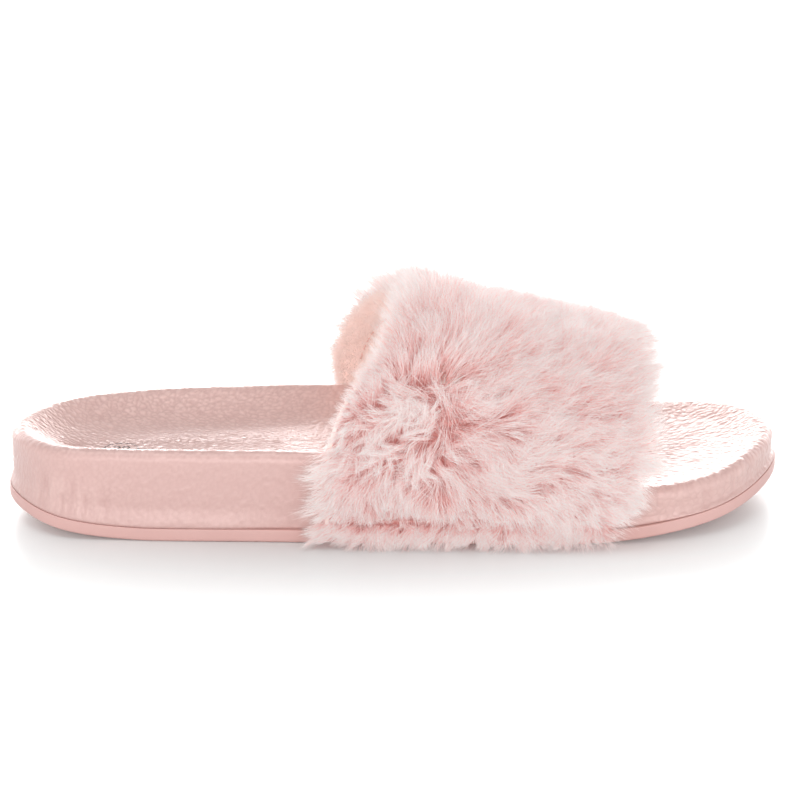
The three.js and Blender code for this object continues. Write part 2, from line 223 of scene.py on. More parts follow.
# ---- meshes ----
def add_piece(name, points, faces, materials, shade=None):
    """A mesh from points in millimetres. faces is a list of arrays, each with one row for a face."""
    faces = [np.asarray(f, np.int32) for f in faces]
    sizes = np.concatenate([np.full(len(f), f.shape[1]) for f in faces])
    mesh = bpy.data.meshes.new(name)
    mesh.vertices.add(len(points))
    mesh.vertices.foreach_set("co", (np.asarray(points) * MM).astype(np.float32).ravel())
    mesh.loops.add(int(sizes.sum()))
    mesh.loops.foreach_set("vertex_index", np.concatenate([f.ravel() for f in faces]))
    mesh.polygons.add(len(sizes))
    mesh.polygons.foreach_set("loop_start", np.concatenate([[0], np.cumsum(sizes)[:-1]]).astype(np.int32))
    if shade is not None:
        mesh.polygons.foreach_set("material_index", np.asarray(shade, np.int32))
    mesh.update(calc_edges=True)
    mesh.shade_smooth()
    for material in materials:
        mesh.materials.append(material)
    piece = bpy.data.objects.new(name, mesh)
    bpy.context.scene.collection.objects.link(piece)
    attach(piece, "root")
    return piece


def weld(piece, distance=0.02):
    """Joins points that lie on each other, such as where rings close on the spine."""
    bm = bmesh.new()
    bm.from_mesh(piece.data)
    bmesh.ops.remove_doubles(bm, verts=bm.verts, dist=distance * MM)
    bmesh.ops.dissolve_degenerate(bm, edges=bm.edges, dist=distance * MM / 4)
    bm.to_mesh(piece.data)
    bm.free()


def grid_faces(rows, columns, wrap=False, flip=False):
    """Four-sided faces over a grid of points; wrap joins the last column to the first."""
    r = np.arange(rows - 1)[:, None]
    c = np.arange(columns if wrap else columns - 1)[None]
    right = (c + 1) % columns
    corners = [r * columns + c, r * columns + right, (r + 1) * columns + right, (r + 1) * columns + c]
    faces = np.stack([np.broadcast_to(k, (rows - 1, c.size)).ravel() for k in corners], 1)
    return faces[:, ::-1] if flip else faces


def grid_normals(grid, wrap=False):
    """Unit normals of a grid of points, to the side from which its faces run anticlockwise."""
    padded = np.concatenate([grid[:, -1:], grid, grid[:, :1]], 1) if wrap else grid
    across = np.gradient(padded, axis=1)
    across = across[:, 1:-1] if wrap else across
    return unit(np.cross(across, np.gradient(grid, axis=0)))


def slab_faces(rows, columns):
    """Faces of a slab: an inner grid of points, then an outer one, joined all round."""
    inner, outer = 0, rows * columns
    ring_ids = np.concatenate([
        np.arange(columns - 1),
        np.arange(rows - 1) * columns + columns - 1,
        rows * columns - 1 - np.arange(columns - 1),
        (rows - 1 - np.arange(rows - 1)) * columns,
    ])
    following = np.roll(ring_ids, -1)
    skirt = np.stack([inner + ring_ids, inner + following, outer + following, outer + ring_ids], 1)
    return [grid_faces(rows, columns, flip=True), outer + grid_faces(rows, columns), skirt]


def add_slab(name, faces, materials):
    """A closed slab between two grids of points, inner and outer."""
    points = np.concatenate([f.reshape(-1, 3) for f in faces])
    return add_piece(name, points, slab_faces(*faces[0].shape[:2]), materials)


def tubes(paths, radii, sides, turn):
    """Points and faces of one closed tube along each path; radii run along it, 0 at a point."""
    count, steps, _ = paths.shape
    along = unit(np.gradient(paths, axis=1))
    first = unit(np.cross(along, turn[:, None, :]))
    second = np.cross(along, first)
    angle = 2 * np.pi * np.arange(sides) / sides
    around = first[:, :, None] * np.cos(angle)[:, None] + second[:, :, None] * np.sin(angle)[:, None]
    points = paths[:, :, None] + around * np.asarray(radii)[..., None, None]
    body = points[:, :-1].reshape(count, -1, 3)
    points = np.concatenate([body, paths[:, -1:]], 1)
    r = np.arange(steps - 2)[:, None] * sides
    s = np.arange(sides)
    following = (s + 1) % sides
    walls = np.stack([r + s, r + following, r + sides + following, r + sides + s], -1).reshape(-1, 4)
    last = (steps - 2) * sides
    tip = np.stack([last + s, last + following, np.full(sides, (steps - 1) * sides)], -1)
    start = np.arange(count)[:, None, None] * points.shape[1]
    return points.reshape(-1, 3), start + walls, start + tip, start + s[None, ::-1]


# ---- materials ----
def linear(colour):
    """Linear red, green, blue from a hex colour."""
    parts = [int(colour[k:k + 2], 16) / 255 for k in (1, 3, 5)]
    return [c / 12.92 if c <= 0.04045 else ((c + 0.055) / 1.055) ** 2.4 for c in parts]


class Look:
    """A procedural material: sockets set on the shader, and textures in the object's own space."""

    def __init__(self, name, colour, **sockets):
        self.material = bpy.data.materials.new(name)
        self.material.use_nodes = True
        self.nodes = self.material.node_tree.nodes
        self.link = self.material.node_tree.links.new
        self.shader = self.nodes["Principled BSDF"]
        self.colour = [*linear(colour), 1]
        self.shader.inputs["Base Color"].default_value = self.colour
        for socket, value in sockets.items():
            self.shader.inputs[socket.replace("_", " ")].default_value = value
        self.place = None
        self.bumped = None

    def node(self, kind, **settings):
        node = self.nodes.new(kind)
        for key, value in settings.items():
            if key in node.inputs:
                node.inputs[key].default_value = value
            else:
                setattr(node, key, value)
        return node

    def space(self, stretch=(1, 1, 1)):
        if self.place is None:
            self.place = self.node("ShaderNodeTexCoord")
        mapping = self.node("ShaderNodeMapping", Scale=stretch)
        self.link(self.place.outputs["Object"], mapping.inputs["Vector"])
        return mapping.outputs["Vector"]

    def noise(self, size, detail=3, stretch=(1, 1, 1)):
        """Noise with features of that size in millimetres."""
        node = self.node("ShaderNodeTexNoise", Scale=1 / (size * MM), Detail=detail)
        self.link(self.space(stretch), node.inputs["Vector"])
        return node.outputs["Fac"]

    def cells(self, size, stretch=(1, 1, 1), feature="DISTANCE_TO_EDGE"):
        node = self.node("ShaderNodeTexVoronoi", feature=feature, Scale=1 / (size * MM))
        self.link(self.space(stretch), node.inputs["Vector"])
        return node.outputs["Distance"]

    def between(self, value, low, high, start, end):
        node = self.node("ShaderNodeMapRange")
        for key, number in zip(("From Min", "From Max", "To Min", "To Max"), (low, high, start, end)):
            node.inputs[key].default_value = number
        self.link(value, node.inputs["Value"])
        return node.outputs["Result"]

    def tint(self, value, other):
        """Mixes the base colour towards another by a texture value."""
        mix = self.node("ShaderNodeMix", data_type="RGBA")
        mix.inputs[6].default_value = self.colour
        mix.inputs[7].default_value = [*linear(other), 1]
        self.link(value, mix.inputs["Factor"])
        self.link(mix.outputs[2], self.shader.inputs["Base Color"])

    def bump(self, value, height, strength=1):
        """Adds a bump whose full range is that many millimetres high."""
        node = self.node("ShaderNodeBump", Strength=strength, Distance=height * MM)
        self.link(value, node.inputs["Height"])
        if self.bumped:
            self.link(self.bumped, node.inputs["Normal"])
        self.bumped = node.outputs["Normal"]
        self.link(self.bumped, self.shader.inputs["Normal"])

    def roughen(self, value, low, high):
        self.link(self.between(value, 0.3, 0.7, low, high), self.shader.inputs["Roughness"])


def leatherette_look():
    look = Look("leatherette", "#b28480", Metallic=0.1, Coat_Weight=0.65, Coat_Roughness=0.36)
    # The cover's attribute mixes the base colour towards a lighter pink: painted shade, darker in the
    # pebbles' creases, in the gathers and on the side wall, with some random tone from pebble to pebble.
    grain_and_shade = look.node("ShaderNodeAttribute", attribute_name="grain_and_shade").outputs["Fac"]
    look.tint(grain_and_shade, "#e6c4bd")
    look.roughen(look.noise(6), 0.38, 0.48)
    look.bump(look.cells(0.9), 0.04, 0.5)
    look.bump(look.noise(0.5), 0.02, 0.4)
    return look.material


def rubber_look():
    look = Look("outsole_rubber", "#d6aba5", Specular_IOR_Level=0.5)
    look.tint(look.between(look.noise(18), 0.35, 0.65, 0, 0.5), "#dcb3ad")
    look.roughen(look.noise(4), 0.4, 0.52)
    look.bump(look.noise(0.6), 0.03, 0.6)
    return look.material


def mottled(name, colour, other, patch, patch_share, uneven, *roughness):
    """A look that drifts towards another colour in patches, and whose roughness varies. patch and
    uneven are the sizes of the two noises in millimetres."""
    look = Look(name, colour)
    look.tint(look.between(look.noise(patch), 0.3, 0.7, 0, patch_share), other)
    look.roughen(look.noise(uneven), *roughness)
    return look


def foam_look():
    look = mottled("foam", "#efe0da", "#e5d2ca", 3, 1, 2, 0.85, 0.95)
    look.bump(look.cells(0.7, feature="F1"), 0.2)
    return look.material


def board_look():
    look = Look("filler_board", "#c9bfb3")
    look.tint(look.between(look.noise(2, stretch=(0.2, 1, 1)), 0.3, 0.7, 0, 1), "#b3a798")
    look.roughen(look.noise(2), 0.85, 0.95)
    look.bump(look.noise(0.5), 0.08)
    return look.material


def lining_look():
    look = Look("lining_plush", "#ecd3cb", Sheen_Weight=0.5, Sheen_Roughness=0.4)
    look.tint(look.between(look.noise(5), 0.35, 0.65, 0, 0.7), "#f3e0da")
    # Painted light: the plush glows in its own colour, which fills the shade between its fibres as if light
    # passed through them.
    look.shader.inputs["Emission Color"].default_value = look.colour
    look.shader.inputs["Emission Strength"].default_value = 0.37
    look.roughen(look.noise(3), 0.85, 0.95)
    look.bump(look.noise(0.45, stretch=(0.5, 1, 1)), 0.35)
    look.bump(look.noise(2.5), 0.5, 0.5)
    return look.material


def tape_look():
    look = mottled("woven_tape", "#f4efe8", "#e8e0d6", 2, 1, 2, 0.8, 0.9)
    look.bump(look.cells(0.8, stretch=(0.5, 1, 1)), 0.15)
    return look.material


def backing_look():
    # The backing's colour, a darker coral than the fibres, is painted shade of the pile's depths and of the
    # side crease, where the backing shows.
    look = mottled("fur_backing", "#d6928b", "#dfa39d", 3, 0.8, 2, 0.85, 0.95)
    look.bump(look.cells(0.9), 0.2)
    return look.material


def thread_look(name, colour, other):
    look = mottled(name, colour, other, 0.6, 1, 1, 0.55, 0.7)
    look.bump(look.noise(0.3, stretch=(0.4, 1, 1)), 0.1)
    return look.material


def ink_look():
    return mottled("ink", "#3b3230", "#5a4b48", 1, 0.6, 1, 0.45, 0.6).material


# The root and lower shades are darker and more coral than the tips: painted shade of the pile's depths over
# the fibres' own pink. Each fibre takes one of the three sets at random.
FUR_SHADES = [  # root, lower, upper and tip of a fibre
    ("#e0a29c", "#ebbfbb", "#eed9d6", "#f1e7e5"),
    ("#e4ada8", "#efcecb", "#f2e3e1", "#f6efed"),
    ("#dc948e", "#e3a6a0", "#eabfbb", "#efd7d4"),
]
FUR_SHARES = (0.4, 0.42, 0.18)
FUR_GLOW = 0.2  # stands for the light that passes on through the fibres


def fur_looks():
    looks = []
    for k, shades in enumerate(FUR_SHADES):
        for j, colour in enumerate(shades):
            look = Look(f"fur_{k}_{j}", colour, Roughness=0.6, Specular_IOR_Level=0.3,
                        Sheen_Weight=0.25, Sheen_Roughness=0.5,
                        Emission_Color=[*linear(colour), 1], Emission_Strength=FUR_GLOW)
            looks.append(look.material)
    return looks


# ---- sole ----
def sole_shell(name, rings_list, materials, count, values=()):
    grid = np.array(rings_list)
    piece = add_piece(name, grid.reshape(-1, 3), [grid_faces(len(grid), count, wrap=True)], materials)
    for key in values:
        attribute = piece.data.attributes.new(key, "FLOAT", "POINT")
        attribute.data.foreach_set("value", values[key].astype(np.float32))
    weld(piece)
    return piece


def make_outsole(material):
    count = 480
    flat = [REACH, 30, 22, EDGE, 6]
    rings_list = [ring(d, lambda x, d: floor_line(x), count) for d in flat]
    corner = 1.0
    lip = -OUTSOLE_LIP
    for a in np.linspace(0, np.pi / 2, 6):
        d = lip + corner * (1 - math.sin(a))
        rings_list.append(ring(d, lambda x, d, a=a: floor_line(x) + corner * (1 - math.cos(a)), count))
    for z in (2, 3):
        rings_list.append(ring(lip, lambda x, d, z=z: floor_line(x) + z, count))
    soft = 0.25
    for a in np.linspace(0, np.pi / 2, 5):
        d = lip + soft * (1 - math.cos(a))
        rings_list.append(ring(d, lambda x, d, a=a: outsole_top(x) - soft * (1 - math.sin(a)), count))
    for d in (0, 3, EDGE, 22, 30, REACH):
        rings_list.append(ring(d, lambda x, d: outsole_top(x), count))
    piece = sole_shell("outsole_unit", rings_list, [material], count)
    cut_tread(piece)
    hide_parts("outsole")
    return piece


def cut_tread(piece):
    """Cuts the tread's grooves across the underside."""
    corners = np.array([(i, j, k) for i in (-1, 1) for j in (-1, 1) for k in (-1, 1)], float)
    sides = np.array([(0, 1, 3, 2), (4, 6, 7, 5), (0, 4, 5, 1), (2, 3, 7, 6), (0, 2, 6, 4), (1, 5, 7, 3)])
    points, faces = [], []
    for k, x in enumerate(TREAD_STARTS):
        outer, inner = wall_y(x, -1) + TREAD_MARGIN, wall_y(x, 1) - TREAD_MARGIN
        groove = corners * (TREAD_WIDTH / 2, (inner - outer) / 2, TREAD_DEPTH)
        slope = floor_line(x + 0.5) - floor_line(x - 0.5)
        middle = np.array([x, (outer + inner) / 2, floor_line(x)])
        points.append(groove + middle + groove[:, :1] * (0, 0, slope))
        faces.append(sides + 8 * k)
    cutter = bpy.data.meshes.new("tread_cutter")
    cutter.from_pydata((np.concatenate(points) * MM).tolist(), [], np.concatenate(faces).tolist())
    tool = bpy.data.objects.new("tread_cutter", cutter)
    bpy.context.scene.collection.objects.link(tool)
    cut = piece.modifiers.new("tread", "BOOLEAN")
    cut.operation, cut.solver, cut.object = "DIFFERENCE", "MANIFOLD", tool
    settled = bpy.data.meshes.new_from_object(piece.evaluated_get(bpy.context.evaluated_depsgraph_get()))
    piece.modifiers.clear()
    piece.data = settled
    bpy.data.objects.remove(tool)


def cover_relief(points, on_bed, up):
    """How light the leatherette is painted, from 0 to 1, and the height of its pebbled relief, in
    millimetres, and its gathers round the heel and the toe. The colour is painted shade: darker in the
    creases round each pebble and in the gathers' valleys, and darker on the side wall than on the
    footbed, with some random tone from pebble to pebble. on_bed is 0 on the side wall and 1 on the
    footbed, up is 0 to 1 up the wall."""
    x, y, z = points.T
    size = lerp(1.65, 2.1, smoothstep(x, 20, 90))
    inside, kind = pebbles(np.stack([x / size / 1.2, y / size, z / size], 1), seed=3)
    dome = 1 - (1 - np.clip(inside / 0.5, 0, 1)) ** 2
    # Each pebble's relief: a dome, raised more in some cells than in others.
    grain_and_shade = dome * (0.8 + 0.4 * kind)
    height = lerp(0.17, 0.24, on_bed) * grain_and_shade
    height = height + 0.06 * drift(x, y + 3 * z, 11, 51) * on_bed
    bent = smoothstep(np.abs(x), 86, 104) * (1 - smoothstep(np.abs(x), 114, 124))
    round_wall = np.arctan2(y, np.abs(x) - 80) * 42
    gather = drift(round_wall, z * 0.16, 1.0, 52) + 0.7 * drift(round_wall, z * 0.2, 2.2, 53)
    low = smoothstep(up, 0.02, 0.1) * (1 - smoothstep(up, 0.4, 0.85))
    high = smoothstep(up, 0.5, 0.9) * smoothstep(x, 55, 80)
    pleated = (low * np.where(x < 0, bent, 0.3 * bent) + 0.5 * high) * (1 - on_bed)
    height = height + np.where(x < 0, 0.15, 0.26) * gather * pleated
    # Painted shade: the side wall is painted darker than the footbed, and both are darker in the creases
    # round each pebble's dome; the wall is also darker in the gathers' valleys and a little lighter towards
    # the toe. kind adds random tone from pebble to pebble on the footbed.
    wall_shade = 0.48 + 0.08 * smoothstep(x, 60, 90) + 0.1 * dome + 0.16 * gather * pleated
    shade = lerp(wall_shade, 0.55 + 0.33 * dome + 0.08 * kind, on_bed)
    return np.clip(shade, 0, 1), height


WALL_STEPS = 34
COVER_COUNT = 1600


def make_cover(material):
    count = COVER_COUNT
    bed = lambda x, d: footbed(x, d)
    clear = lambda x: np.clip(np.maximum((-38 - x) / 20, (x - 78) / 20), 0, 1)
    outer = [ring(d, lambda x, d: cover_foot(x) - GAP + 0.05, count) for d in (COVER_MARGIN, 8, 3)]
    hem = 0.25
    for a in np.linspace(0, 1.3, 4):
        height = lambda x, d, a=a: cover_foot(x) - GAP + 0.05 + hem * (1 - math.cos(a))
        outer.append(ring(hem * (1 - math.sin(a)), height, count, lambda x: 0.9 * clear(x)))
    hem_rings = len(outer)
    ups = np.linspace(0, 1, WALL_STEPS + 1)
    for f in ups:
        waist = 0.2 * smoothstep(1 - f, 0, 0.4) * smoothstep(f, 0, 0.3)
        height = lambda x, d, f=f: lerp(cover_foot(x) - GAP + 0.05 + hem, rim_height(x) - RIM_ROUND, f)
        bulge = lambda x, f=f: 0.9 * (1 - smoothstep(f, 0, 0.3)) * clear(x)
        outer.append(ring(waist, height, count, bulge))
    for a in np.linspace(0, np.pi / 2, 10)[1:]:
        outer.append(ring(RIM_ROUND * (1 - math.cos(a)), bed, count))
    for d in np.arange(RIM_ROUND + 0.4, REACH, 0.42):
        outer.append(ring(d, bed, count))
    outer.append(ring(REACH, bed, count))
    grid = np.array(outer)
    up = np.ones(len(grid))
    up[:hem_rings] = 0
    up[hem_rings:hem_rings + len(ups)] = ups
    on_bed = np.clip((np.arange(len(grid)) - hem_rings - len(ups)) / 9, 0, 1)
    on_bed, up = (np.repeat(v[:, None], count, 1) for v in (on_bed, up))
    # The first value is the leatherette's painted shade, with random tone from pebble to pebble; the
    # cover's inner faces are given the lightest colour.
    grain_and_shade, height = (
        v.reshape(up.shape) for v in cover_relief(grid.reshape(-1, 3), on_bed.ravel(), up.ravel()))
    height[:hem_rings] = 0
    height[-1] = height[-2]
    grid = grid + grid_normals(grid, wrap=True) * height[..., None]
    mirrored = (count - np.arange(count)) % count
    grid[-1] = (grid[-1] + grid[-1][mirrored]) / 2
    under = lambda x, d: footbed(x, d, COVER_THICK)
    inner = [ring(d, under, count) for d in (REACH, 26, 20, EDGE, 7, RIM_ROUND, 1.6)]
    inner.append(ring(COVER_THICK, lambda x, d: rim_height(x) - RIM_ROUND, count))
    inner += [ring(d, lambda x, d: cover_foot(x) + COVER_THICK, count) for d in (COVER_THICK, COVER_MARGIN)]
    grain_and_shade = np.concatenate([grain_and_shade.ravel(), np.ones(count * (len(inner) + 1))])
    rings_list = np.concatenate([grid, np.array(inner), grid[:1]])
    piece = sole_shell("footbed_wrap", rings_list, [material], count, {"grain_and_shade": grain_and_shade})
    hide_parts("footbed_cover")
    return piece


# ---- the size mark ----
MARK = (-91.5, -5.5)  # middle of the ring on the heel
MARK_RADIUS = 5.6
DIGIT = 2.3  # height of half a digit
INK = 0.3  # half the width of a printed line
INK_LIFT = 0.04  # height of the print over the cover


def arc_line(x, y, radius, start, end):
    angle = np.radians(np.linspace(start, end, 40))
    return np.stack([x + radius * np.cos(angle), y + radius * np.sin(angle)], 1)


def make_size_mark(material, bed):
    """A ring with the size in plain digits, printed on the heel."""
    r = DIGIT / 2
    lines = [
        arc_line(0, 0, MARK_RADIUS, 0, 360),
        arc_line(-1.6, r, r, 150, -90), arc_line(-1.6, -r, r, 90, -150),
        arc_line(1.6, r * 0.95, r * 0.95, -90, 270), arc_line(1.6, -r, r, 90, 450),
    ]
    tree = BVHTree.FromObject(bed, bpy.context.evaluated_depsgraph_get())
    points, faces = [], []
    for line in lines:
        along = unit(np.gradient(line, axis=0))
        side = np.stack([-along[:, 1], along[:, 0]], 1) * INK
        plan = np.stack([line - side, line + side], 1).reshape(-1, 2) + MARK
        drop = [tree.ray_cast(Vector((x * MM, y * MM, 0.1)), Vector((0, 0, -1)))[0].z / MM for x, y in plan]
        start = sum(len(p) for p in points)
        points.append(np.column_stack([plan, np.array(drop) + INK_LIFT]))
        k = start + 2 * np.arange(len(line) - 1)[:, None]
        faces.append(k + np.array([0, 2, 3, 1]))
    return add_piece(
        "size_mark", np.concatenate(points), [np.concatenate(faces)], [material])


# ---- strap surface ----
def underside(row, column):
    """A point of the strap's underside: rows from the outer foot over the crown to the inner foot,
    columns from the rear edge to the front edge."""
    row, column = np.broadcast_arrays(np.asarray(row, float), np.asarray(column, float))
    outer = row < ROWS / 2
    up = np.minimum(row, ROWS - row)
    turn = np.pi / 2 * np.clip((up - 1) / (ROWS / 2 - 1), 0, 1)
    climb = 0.3 * np.minimum(up, 1) + 0.7 * np.sin(turn)
    rear = lerp(np.where(outer, *STRAP_REAR[:2]), STRAP_REAR[2], climb**3.4)
    rear = rear - REAR_SWELL * smoothstep(row, 10, 12.5) * (1 - smoothstep(row, 15.5, 17.5))
    front = lerp(np.where(outer, *STRAP_FRONT[:2]), STRAP_FRONT[2], 1 - (1 - climb) ** 3)
    x = lerp(rear, front, column)
    left, right = wall_y(x, -1), wall_y(x, 1)
    spring = rim_height(x) - STRAP_SPRING
    forward = np.clip((x - STRAP_REAR[2]) / (STRAP_FRONT[2] - STRAP_REAR[2]), 0, 1)
    crown = lerp(*STRAP_CROWN, forward)
    power = 2 / STRAP_ROUND
    y = (left + right) / 2 + np.where(outer, -1, 1) * (right - left) / 2 * np.cos(turn) ** power
    z = spring + (crown - spring) * np.sin(turn) ** power
    low = up <= 1
    y = np.where(low, np.where(outer, left, right), y)
    z = np.where(low, lerp(cover_foot(x), spring, up), z)
    return np.stack([x, y, z], -1)


def axes(row, column):
    """Unit vectors of the strap: along to the front, and out of it."""
    across = underside(np.minimum(row + 0.1, ROWS), column) - underside(np.maximum(row - 0.1, 0), column)
    along = unit(underside(row, column + 0.02) - underside(row, column - 0.02))
    return along, unit(np.cross(along, across))


def over_foot(row):
    return np.sin(np.pi * row / ROWS)


def backing_inside(row, foot):
    """How far the fur's backing lies out from the underside: foot at the strap's feet, and over the
    padding elsewhere."""
    up = np.minimum(row, ROWS - row)
    return np.minimum(pile_inside(row), lerp(foot, pile_inside(1), np.minimum(up, 1)))


def pile_inside(row):
    return 2 * GAP + LINING_THICK + lerp(*PAD_THICK, over_foot(row)) + GAP + WEB_THICK + GAP


def strap_sheet(name, row, column, low, thick, materials):
    """A sheet that follows the strap, from low to low + thick out from its underside."""
    out = axes(row, column)[1]
    base = underside(row, column)
    faces = [base + out * low[..., None], base + out * (low + thick)[..., None]]
    return add_slab(name, faces, materials)


LINING_ROWS, LINING_COLUMNS, ROLL_STEPS = 130, 56, 7
PUFF = 1.3  # most that the lining may puff into the foot's room
PUFF_FRAMES = 20


def puffed(row, column):
    """How far the padding puffs the lining at each grid point, from a cloth simulation in which
    the seams hold the lining and the padding presses on it."""
    rest = underside(row, column)
    mesh = bpy.data.meshes.new("lining_cloth")
    faces = grid_faces(*row.shape, flip=True)
    mesh.from_pydata((rest.reshape(-1, 3) * MM).tolist(), [], faces.tolist())
    cloth = bpy.data.objects.new("lining_cloth", mesh)
    bpy.context.scene.collection.objects.link(cloth)
    held = np.minimum(row, ROWS - row) < 1.6
    held |= np.minimum(column, 1 - column) * STRAP_LENGTH < SEAM_INSET
    group = cloth.vertex_groups.new(name="seams")
    group.add(np.flatnonzero(held.ravel()).tolist(), 1.0, "REPLACE")
    modifier = cloth.modifiers.new("cloth", "CLOTH")
    settings = modifier.settings
    settings.quality = 6
    settings.mass = 0.2
    settings.tension_stiffness = settings.compression_stiffness = 12
    settings.shear_stiffness = 6
    settings.bending_stiffness = 0.3
    settings.shrink_min = -0.035
    settings.vertex_group_mass = "seams"
    settings.use_pressure = True
    settings.uniform_pressure_force = 4
    settings.effector_weights.gravity = 0
    modifier.collision_settings.use_collision = False
    scene = bpy.context.scene
    for step in range(1, PUFF_FRAMES + 1):
        scene.frame_set(step)
    moved = cloth.evaluated_get(bpy.context.evaluated_depsgraph_get()).data
    found = np.zeros(len(mesh.vertices) * 3, np.float32)
    moved.vertices.foreach_get("co", found)
    shift = found.reshape(rest.shape) / MM - rest
    scene.frame_set(1)
    bpy.data.objects.remove(cloth)
    size = np.linalg.norm(shift, axis=-1, keepdims=True)
    return shift * np.minimum(1, PUFF / np.maximum(size, 1e-6))


def make_lining(material):
    """The plush lining, rolled over the strap's cut edges to the fur's backing."""
    rows = np.linspace(0.02, ROWS - 0.02, LINING_ROWS)
    row, column = np.meshgrid(rows, np.linspace(0, 1, LINING_COLUMNS), indexing="ij")
    along, out = axes(row, column)
    base = underside(row, column)
    shift = puffed(row, column)
    faces = []
    for face in (0, 1):
        flat = base + out * (GAP + face * LINING_THICK) + shift
        radius = (pile_inside(rows) - GAP - 0.2)[:, None, None] / 2
        turn = np.linspace(0, np.pi, ROLL_STEPS)[None, 1:, None]
        rolls = []
        for end, sign in ((0, -1), (-1, 1)):
            a, o, at = along[:, end, None], out[:, end, None], base[:, end, None]
            rolled = radius - face * LINING_THICK
            roll = at + o * (GAP + radius - rolled * np.cos(turn)) + a * sign * rolled * np.sin(turn)
            rolls.append(roll)
        faces.append(np.concatenate([rolls[0][:, ::-1], flat, rolls[1]], 1))
    lining = add_slab("strap_lining_plush", faces, [material])
    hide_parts("strap_lining")
    return lining, faces[0]


PLUSH = 18000  # fibres of the lining's short pile
PLUSH_ROWS = (60, 124)  # grid rows and columns of the lining between which the pile shows
PLUSH_COLUMNS = (0, 22)
PLUSH_FIBRE = 0.09  # radius at the root
PLUSH_LENGTH = (1.7, 4.2)  # on the flat of the lining, and on the roll


def make_plush(grid, material):
    """The lining's short pile, where it shows: on the inner side of the foot, from the rear edge's
    roll a little way in."""
    rng = np.random.default_rng(13)
    shown = (slice(*PLUSH_ROWS), slice(*PLUSH_COLUMNS))
    place, normals = grid[shown], -grid_normals(grid)[shown]
    area = np.linalg.norm(np.cross(np.diff(place, axis=0)[:, :-1], np.diff(place, axis=1)[:-1]), axis=-1)
    r, c = np.unravel_index(rng.choice(area.size, PLUSH, p=(area / area.sum()).ravel()), area.shape)
    u, v = rng.random((2, PLUSH, 1))
    root, normal = (
        lerp(lerp(g[r, c], g[r + 1, c], u), lerp(g[r, c + 1], g[r + 1, c + 1], u), v)
        for g in (place, normals))
    normal = unit(normal)
    leave, arrive = (unit(np.cross(normal, unit(rng.normal(size=(PLUSH, 3))))) for _ in range(2))
    rolled = np.clip((8 - c) / 5, 0, 1)
    rise, lay = (np.radians(a * (1 - 0.4 * rolled) + 12 * rng.normal(size=PLUSH)) for a in (25, 55))
    length = lerp(*PLUSH_LENGTH, rolled) * (1 + 0.2 * rng.normal(size=PLUSH))
    path = bent_fibres(root - 0.05 * normal, normal, leave, arrive, rise, lay, length)[:, ::2]
    radii = np.tile(PLUSH_FIBRE * np.array([1, 0.8, 0]), (PLUSH, 1))
    points, walls, tips, start = tubes(path, radii, 3, unit(rng.normal(size=(PLUSH, 3))))
    faces = [walls.reshape(-1, 4), tips.reshape(-1, 3), start.reshape(-1, 3)]
    return add_piece("lining_pile", points, faces, [material])


def make_padding(material):
    rows = np.linspace(1, ROWS - 1, 120)
    columns = np.linspace(0.03, 0.97, 50)
    row, column = np.meshgrid(rows, columns, indexing="ij")
    edge = np.minimum(np.minimum(column - 0.03, 0.97 - column) * STRAP_LENGTH, 4) / 4
    full = np.sqrt(1 - (1 - np.clip(edge, 0, 1)) ** 2)
    thick = lerp(*PAD_THICK, over_foot(row)) * (0.35 + 0.65 * full)
    low = 2 * GAP + LINING_THICK + 0 * row
    pad = strap_sheet("strap_pad", row, column, low, thick, [material])
    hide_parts("strap_padding")
    return pad


STITCH = 3.4
STITCH_GAP = 1.1
THREAD = 0.32


def stitches(name, node, place, length, material):
    """Separate stitches along place(t), t from 0 to 1; each dips into the cloth at both ends."""
    count = int(length / (STITCH + STITCH_GAP))
    ends = np.arange(count)[:, None] + np.linspace(0, STITCH / (STITCH + STITCH_GAP), 7)[None]
    t = (ends / count).ravel()
    rise = np.tile(np.sin(np.linspace(0, np.pi, 7)) ** 0.6, count)
    path = place(t, rise).reshape(count, 7, 3)
    radii = THREAD * np.array([0.5, 0.9, 1, 1, 1, 0.9, 0])
    turn = np.tile([0.3, 0.5, 0.8], (count, 1))
    points, walls, tips, root = tubes(path, np.tile(radii, (count, 1)), 8, turn)
    faces = [walls.reshape(-1, 4), tips.reshape(-1, 3), root.reshape(-1, 8)]
    piece = add_piece(name, points, faces, [material])
    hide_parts(node)
    return piece


def make_seams(edge_thread, side_thread):
    first = 2.4
    for name, node, column in (
        ("rear_edge_seam", "rear_edge_stitching", SEAM_INSET / STRAP_LENGTH),
        ("front_edge_seam", "front_edge_stitching", 1 - SEAM_INSET / STRAP_LENGTH),
    ):
        def on_lining(t, rise, column=column):
            row = lerp(first, ROWS - first, t)
            at = np.full_like(row, column)
            return underside(row, at) + axes(row, at)[1] * (GAP + 0.1 - 0.45 * rise)[:, None]
        stitches(name, node, on_lining, 130, edge_thread)
    for name, node, side in (
        ("outer_foot_seam", "outer_side_stitching", -1), ("inner_foot_seam", "inner_side_stitching", 1)
    ):
        def in_crease(t, rise, side=side):
            foot = 0 if side < 0 else 1
            column = lerp(0.03, 0.97, t)
            x = lerp(STRAP_REAR[foot], STRAP_FRONT[foot], column)
            return np.stack([x, wall_y(x, side) + side * (CREASE_OUT + 0.6 * rise),
                             outsole_top(x) + lerp(*CREASE, column)], -1)
        stitches(name, node, in_crease, STRAP_LENGTH, side_thread)


def make_backing(material):
    rows = np.linspace(0.1, ROWS - 0.1, 190)
    columns = np.linspace(-0.005, 1.005, 60)
    row, column = np.meshgrid(rows, columns, indexing="ij")
    low = backing_inside(row, BACKING_FOOT)
    backing = strap_sheet("fur_backing", row, column, low, CLOTH_THICK, [material])
    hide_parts("strap_fur")
    return backing


